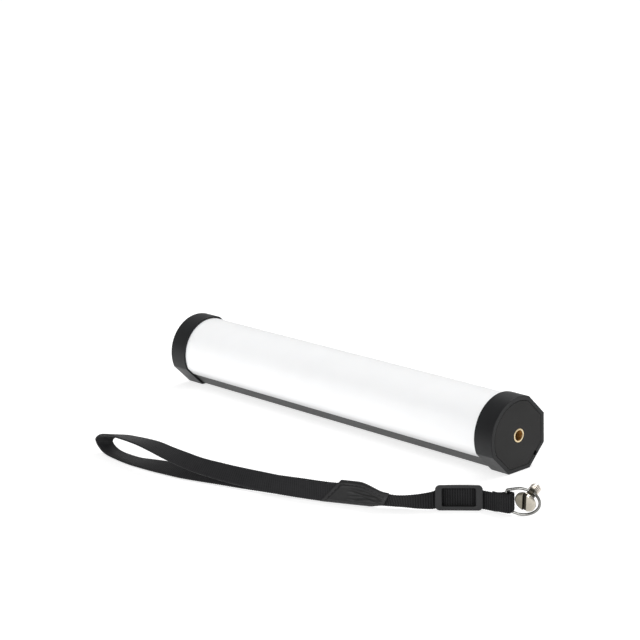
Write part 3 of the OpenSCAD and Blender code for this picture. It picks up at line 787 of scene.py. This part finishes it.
def patch_stitches():
    """Short raised thread stitches along the patch's four sides, front and back."""
    verts, faces = [], []
    along, round_it = 7, 8

    def stitch(a, b, out):
        d = b - a
        wide = d.normalized().cross(out).normalized()
        base = len(verts)
        for i in range(along):
            t = i / (along - 1)
            swell = math.sin(math.pi * (0.08 + 0.84 * t)) ** 0.5
            for k in range(round_it):
                w = 2 * math.pi * k / round_it
                bulge = wide * math.cos(w) * 0.3 + out * math.sin(w) * 0.2
                verts.append(a + d * t + bulge * MM * swell)
        for i in range(along - 1):
            near, far = base + i * round_it, base + (i + 1) * round_it
            for k in range(round_it):
                q = (k + 1) % round_it
                faces.append((near + k, near + q, far + q, far + k))
        faces.append(tuple(base + k for k in range(round_it - 1, -1, -1)))
        faces.append(tuple(base + (along - 1) * round_it + k for k in range(round_it)))

    inset, clear = 1.75, 1.6
    top, bottom = [], []
    x = -17.5
    while x < 22:
        low, high = patch_rims(x)
        for row, z in ((top, high - inset), (bottom, low + inset)):
            left, end = patch_sides(z)
            if left + clear < x < end - clear:
                row.append((x, z))
        x += 0.5
    ends = []
    for end, gap in ((0, 2.1), (1, -1.9)):
        line = []
        z = 2.4
        while z < 11.4:
            line.append((patch_sides(z)[end] + gap, z))
            z += 0.45
        ends.append(line)
    stitch_steps, repeat = 3, 5
    for side in (-1, 1):
        for line in [top, bottom] + ends:
            for i in range(0, len(line) - stitch_steps, repeat):
                span = (line[i], line[i + stitch_steps])
                pts = []
                for x, z in span:
                    half = patch_half(x, z, -side)[0]
                    pts.append(patch_place(x, side * (half + 0.02), z))
                x, z = ((span[0][axis] + span[1][axis]) / 2 for axis in (0, 1))
                out = patch_place(x, side * 4, z) - patch_place(x, side * 3, z)
                stitch(pts[0], pts[1], out.normalized())
    ob = outward(link("patch_stitching", verts, faces))
    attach(ob, "strap")
    return ob


leather_patch()
patch_stitches()
leather = Paint("patch_leather", (0.0085, 0.0085, 0.0089), 0.42, Specular_IOR_Level=0.28)
grain = leather.cells(0.0007, "SMOOTH_F1", smooth=0.4)
pores = leather.noise(0.0003, 5)
mottle = leather.remap(leather.noise(0.005, 4), 0.3, 0.7, 0.7, 1.2)
# the point attribute tints the leather: painted shade in the creases, painted highlight and shade along the
# hem
leather.tint(leather.product(leather.attribute("fold_shade_and_highlight"), mottle), 0.15, 2.0, 0.05, 0.95)
leather.rough(pores, 0.34, 0.56)
leather.bump(grain, 0.00012, 0.7)
leather.bump(pores, 0.00004, 0.5)
leather.on("patch_leather")
thread_paint = Paint("thread_black", (0.022, 0.022, 0.023), 0.6, Specular_IOR_Level=0.3)
twist = thread_paint.noise(0.00015, 3)
thread_paint.tint(twist, 0.8, 1.3)
thread_paint.rough(twist, 0.5, 0.7)
thread_paint.bump(twist, 0.00005, 0.7)
thread_paint.on("patch_stitching")


# ---- ladder buckle ----

def slider_place(x, y, z):
    return Vector((*beside_slider(x, y), z)) * MM


def rounded_rect(w, h, r, n):
    """Points of a rounded rectangle about the origin, the same number on each side and corner."""
    straight = 12
    pts = []
    for corner, (sx, sy) in enumerate(((1, 1), (-1, 1), (-1, -1), (1, -1))):
        cx, cy = sx * (w / 2 - r), sy * (h / 2 - r)
        for i in range(n + 1):
            a = math.radians(90 * corner + 90 * i / n)
            pts.append((cx + r * math.cos(a), cy + r * math.sin(a)))
        nxt = ((-1, 1), (-1, -1), (1, -1), (1, 1))[corner]
        ex, ey = nxt[0] * (w / 2 - r), nxt[1] * (h / 2 - r)
        a = math.radians(90 * corner + 90)
        p0 = pts[-1]
        p1 = (ex + r * math.cos(a), ey + r * math.sin(a))
        for i in range(1, straight):
            pts.append((p0[0] + (p1[0] - p0[0]) * i / straight,
                        p0[1] + (p1[1] - p0[1]) * i / straight))
    return pts


def super_round(angle):
    """Cosine and sine pulled towards a square, for the buckle's soft-edged bars."""
    power = 0.4
    c, n = math.cos(angle), math.sin(angle)
    return math.copysign(abs(c) ** power, c), math.copysign(abs(n) ** power, n)


def bar_block(x_half, y_mid, y_half, z0, z1):
    """A soft-edged upright bar of the buckle between two heights."""
    levels, around = 12, 32
    turns = []
    for i in range(levels + 1):
        z = z0 + (z1 - z0) * i / levels
        close = 1 - 0.16 * math.exp(-min(z - z0, z1 - z) / 0.12)
        turn = []
        for k in range(around):
            x, y = super_round(2 * math.pi * k / around)
            turn.append(slider_place(x * x_half * close, y_mid + y * y_half * close, z))
        turns.append(turn)
    return tube_grid(turns)


def buckle():
    """The flat moulded frame, its centre bar, and the two feet that join the bar to the rails."""
    w, h = 26.6, 14.75
    mid_z = 7.425
    front, behind, r = -2.4, -0.9, 0.42
    lower, upper = 2.4, 1.6
    outer = rounded_rect(w, h, 2.6, 8)
    inner = rounded_rect(w - 7.6, h - lower - upper, 1.0, 8)
    rings = []
    for (ox, oz), (ix, iz) in zip(outer, inner):
        oz += 0.25 * (1 - (ox / (w / 2)) ** 2) * (1 if oz > 0 else 0) - (0.12 if oz > 0 else 0)
        iz += (lower - upper) / 2
        section = []
        span = Vector((ox - ix, oz - iz))
        length = span.length
        span.normalize()
        corners = ((0, front, 180), (length, front, 270), (length, behind, 0), (0, behind, 90))
        for s, y, a0 in corners:
            c = (s - (r if s > 0 else -r), y + (r if y == front else -r))
            for i in range(5):
                a = math.radians(a0 + 90 * i / 4)
                section.append((c[0] + r * math.cos(a), c[1] + r * math.sin(a)))
        rings.append([slider_place(ix + span.x * s, y, mid_z + iz + span.y * s) for s, y in section])
    v, f = tube_grid(rings, closed_path=True)
    pieces = [
        bar_block(1.98, 1.65, 0.75, 0.08, 13.7),
        bar_block(1.95, 0.2, 1.4, 0.15, 1.78),
        bar_block(1.95, 0.2, 1.4, 13.2, 13.7)
    ]
    for v2, f2 in pieces:
        base = len(v)
        v += v2
        f += [tuple(base + i for i in q) for q in f2]
    ob = outward(link("buckle_moulding", v, f))
    sharpen(ob, 50)
    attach(ob, "slider")
    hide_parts("slider_buckle")
    return ob


buckle()
buckle_paint = moulded("buckle_black", (0.020, 0.020, 0.021), 0.38, 0.0005, 0.00003)
buckle_paint.on("buckle_moulding")


# ---- ring and thumb screw ----

# millimetres and degrees: NECK_TURN places the screw's eye along the ring's arc, STUD_AZ and
# STUD_EL point its stud, EYE_DROP sets the screw's middle below the wire, SLOT_TURN turns the slot
RING_DIR, RING_Z = 24.0, 8.4
RING_OUT, RING_UP, RING_REACH, BAR_HALF, WIRE_R = 10.8, 7.55, 8.2, 6.0, 0.8
NECK_TURN, STUD_AZ, STUD_EL, EYE_DROP, SLOT_TURN = 55.0, 104.0, 19.0, 3.4, 12.0


def ring_place(x, y, z):
    return Vector((*turned_place(BAR_AT, RING_DIR, x, y), RING_Z + z)) * MM


def wire_ring():
    """The ring's wire: an oval arc, two straight sides and the bar in the webbing's eye."""
    path = []
    for a in range(-96, 97, 4):
        path.append((RING_REACH + RING_OUT * math.cos(math.radians(a)),
                     RING_UP * math.sin(math.radians(a))))
    tx, tz = path[-1]
    side = [(tx + (1.4 - tx) * i / 8, tz + (BAR_HALF + 0.2 - tz) * i / 8) for i in range(1, 9)]
    corner = [(0.75, BAR_HALF + 0.04), (0.32, BAR_HALF - 0.16), (0.07, BAR_HALF - 0.6), (0, BAR_HALF - 1.2)]
    straight = [(0, (BAR_HALF - 1.2) * (1 - i / 6)) for i in range(1, 7)]
    upper = side + corner + straight
    path += upper + [(x, -z) for x, z in reversed(upper[:-1])]
    n, around = len(path), 20
    rings = []
    for i, (x, z) in enumerate(path):
        a, b = path[(i - 1) % n], path[(i + 1) % n]
        t = Vector((b[0] - a[0], b[1] - a[1])).normalized()
        out = Vector((t.y, -t.x))
        ring = []
        for k in range(around):
            w = 2 * math.pi * k / around
            ring.append(ring_place(x + out.x * WIRE_R * math.cos(w), WIRE_R * math.sin(w),
                                   z + out.y * WIRE_R * math.cos(w)))
        rings.append(ring)
    v, f = tube_grid(rings, closed_path=True)
    ob = outward(link("ring_wire", v, f))
    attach(ob, "ring")
    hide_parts("d_ring")
    return ob


def lathe(name, profile, around=72):
    """Turns (radius, height) points about Z and closes both ends flat."""
    rings = [[(r * math.cos(2 * math.pi * k / around), r * math.sin(2 * math.pi * k / around), z)
              for k in range(around)] for r, z in profile]
    v, f = tube_grid(rings)
    return outward(link(name, v, f))


def screw_body():
    """Head, neck and the shoulder under the stud, turned about the screw's axis."""
    head_r, head_from, neck_r = 6.2, 6.2, 2.6
    prof = [
        (0.3, -head_from + 0.03), (4.7, -head_from + 0.08), (5.3, -head_from + 0.25),
        (5.85, -head_from + 0.6), (head_r, -head_from + 1.1), (head_r, -4.1), (6.0, -3.75),
        (5.6, -3.62), (3.1, -3.6), (neck_r, -3.3), (neck_r, 3.1), (neck_r - 0.2, 3.35), (2.4, 3.7)
    ]
    return lathe("thumb_screw_turned", [(r * MM, z * MM) for r, z in prof])


def screw_stud():
    """The threaded stud beyond the eye, with a faded start and a chamfered end."""
    lo, hi = 3.65, 9.5
    crest, root = 3.1, 2.45
    steps, around = 84, 64
    rings = []
    for i in range(steps + 1):
        z = lo + (hi - lo) * i / steps
        fade = float(smoothstep(lo, lo + 0.7, z)) * float(smoothstep(hi, hi - 0.8, z))
        ring = []
        for k in range(around):
            t = thread(z / PITCH_MM - k / around)
            r = root + (crest - root) * t * fade - 0.15 * float(smoothstep(hi - 0.5, hi, z))
            ring.append((r * math.cos(2 * math.pi * k / around) * MM,
                         r * math.sin(2 * math.pi * k / around) * MM, z * MM))
        rings.append(ring)
    return outward(link("stud_tmp", *tube_grid(rings)))


def screw_slot():
    """The cutter for the coin slot across the head."""
    corners = ((-1.2, -7), (1.2, -7), (1.2, -4.5), (-1.2, -4.5))
    rows = [[(x * MM, y * MM, z * MM) for y, z in corners] for x in (-8, 8)]
    return outward(link("slot_tmp", *tube_grid(rows)))


def eye_lug():
    """The rounded link that carries the eye, drawn about the eye's own axis."""
    lug_r, half_thick, rounding, flat = 2.3, 1.6, 0.35, 0.72
    half_turn = [math.pi * k / 20 for k in range(21)]
    levels = 12
    rows = []
    for i in range(levels + 1):
        t = -1 + 2 * i / levels
        past_flat = max(abs(t) - flat, 0) / (1 - flat)
        r = lug_r - rounding * (1 - math.sqrt(max(1 - past_flat ** 2, 0)))
        outline = [(r * math.cos(math.pi / 2 + a), r * math.sin(math.pi / 2 + a)) for a in half_turn]
        outline += [(EYE_DROP + r * math.cos(a - math.pi / 2), r * math.sin(a - math.pi / 2))
                    for a in half_turn]
        rows.append([(x * MM, y * MM, half_thick * t * MM) for x, y in outline])
    return outward(link("lug_tmp", *tube_grid(rows)))


def thumb_screw():
    """The slotted thumb screw, hung by its eye on the ring's wire."""
    ob = screw_body()
    stud = screw_stud()
    slot = screw_slot()
    turn = math.radians(NECK_TURN)
    slope = math.atan2(RING_UP * math.cos(turn), RING_OUT * math.sin(turn))
    eye_at = ring_place(RING_REACH + RING_OUT * math.cos(turn), 0, RING_UP * math.sin(turn))
    eye_frame = (Matrix.Translation(eye_at) @ Matrix.Rotation(math.radians(RING_DIR), 4, "Z")
                 @ Matrix.Rotation(slope + math.pi / 2, 4, "Y"))
    lug = eye_lug()
    eye_r, reach = 1.2 * MM, 6 * MM
    bore = lathe("eye_tmp", [(0.1 * MM, -reach), (eye_r, -reach), (eye_r, reach), (0.1 * MM, reach)], 32)
    drop = Vector((math.sin(slope) * math.cos(math.radians(RING_DIR)),
                   math.sin(slope) * math.sin(math.radians(RING_DIR)), math.cos(slope)))
    screw_at = eye_at - EYE_DROP * MM * drop
    place = (Matrix.Translation(screw_at) @ Matrix.Rotation(math.radians(STUD_AZ), 4, "Z")
             @ Matrix.Rotation(math.radians(90 - STUD_EL), 4, "Y"))
    ob.matrix_world = place
    stud.matrix_world = place
    slot.matrix_world = place @ Matrix.Rotation(math.radians(SLOT_TURN), 4, "Z")
    lug.matrix_world = eye_frame
    bore.matrix_world = eye_frame
    bpy.context.view_layer.update()
    for name, cutter, how in (("lug", lug, "UNION"), ("stud", stud, "UNION"), ("slot", slot, "DIFFERENCE"),
                              ("eye", bore, "DIFFERENCE")):
        modify(ob, "BOOLEAN", name, object=cutter, operation=how, solver="EXACT")
    apply_all(ob)
    for extra in (stud, slot, lug, bore):
        bpy.data.objects.remove(extra)
    sharpen(ob, 32)
    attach(ob, "screw")
    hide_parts("thumb_screw")
    return ob


wire_ring()
thumb_screw()
# painted shade: a dark metal in the slot and around the neck, where shadow falls
recess_shade_paint = metal("thumb_recess_shade", (0.05, 0.046, 0.036), 0.4, (1, 1, 1), 0.0004, 0.000008, 0.1)
ring_paint = metal("ring_nickel", (0.24, 0.24, 0.23), 0.14, (1, 1, 1), 0.0008, 0.000004, 0.06)
ring_paint.on("ring_wire")
thumb_paint = metal("thumb_nickel", (0.50, 0.465, 0.395), 0.26, (1, 1, 1), 0.0004, 0.000008, 0.1)
# painted shade: a darker copy of the head's metal, for one half of the head and the thread grooves
shade_metal_paint = metal("thumb_painted_shade", (0.23, 0.213, 0.17), 0.3, (1, 1, 1), 0.0004, 0.000008, 0.1)
thread_metal = metal("thumb_thread", (0.68, 0.63, 0.57), 0.24, (1, 1, 1), 0.0004, 0.000008, 0.1)
thumb_paint.on("thumb_screw_turned")
turned = bpy.data.objects["thumb_screw_turned"]
for extra in (recess_shade_paint, shade_metal_paint, thread_metal):
    turned.data.materials.append(extra.mat)
# finishes by place on the screw: painted shade in the slot and neck, painted shade on one half of the head
# and in the thread grooves, bright thread crests
RECESS_SHADE, PAINTED_SHADE, CREST = 1, 2, 3
SLOT_HALF, SLOT_LOW, SLOT_HIGH = 1.23 * MM, -6.05 * MM, -4.4 * MM
HEAD_TOP, NECK_TOP = -3.61 * MM, 2.2 * MM
STUD_TOP, GROOVE_R = 9.4 * MM, 2.72 * MM
unslot = Matrix.Rotation(math.radians(-SLOT_TURN), 4, "Z")
for face in turned.data.polygons:
    at = unslot @ face.center
    in_slot = abs(at.y) < SLOT_HALF and SLOT_LOW < at.z < SLOT_HIGH
    in_neck = HEAD_TOP < at.z < NECK_TOP
    if in_slot or in_neck:
        face.material_index = RECESS_SHADE
    elif at.z < HEAD_TOP:
        face.material_index = PAINTED_SHADE if at.y > 0 else 0
    else:
        in_groove = at.z < STUD_TOP and math.hypot(at.x, at.y) < GROOVE_R
        face.material_index = PAINTED_SHADE if in_groove else CREST
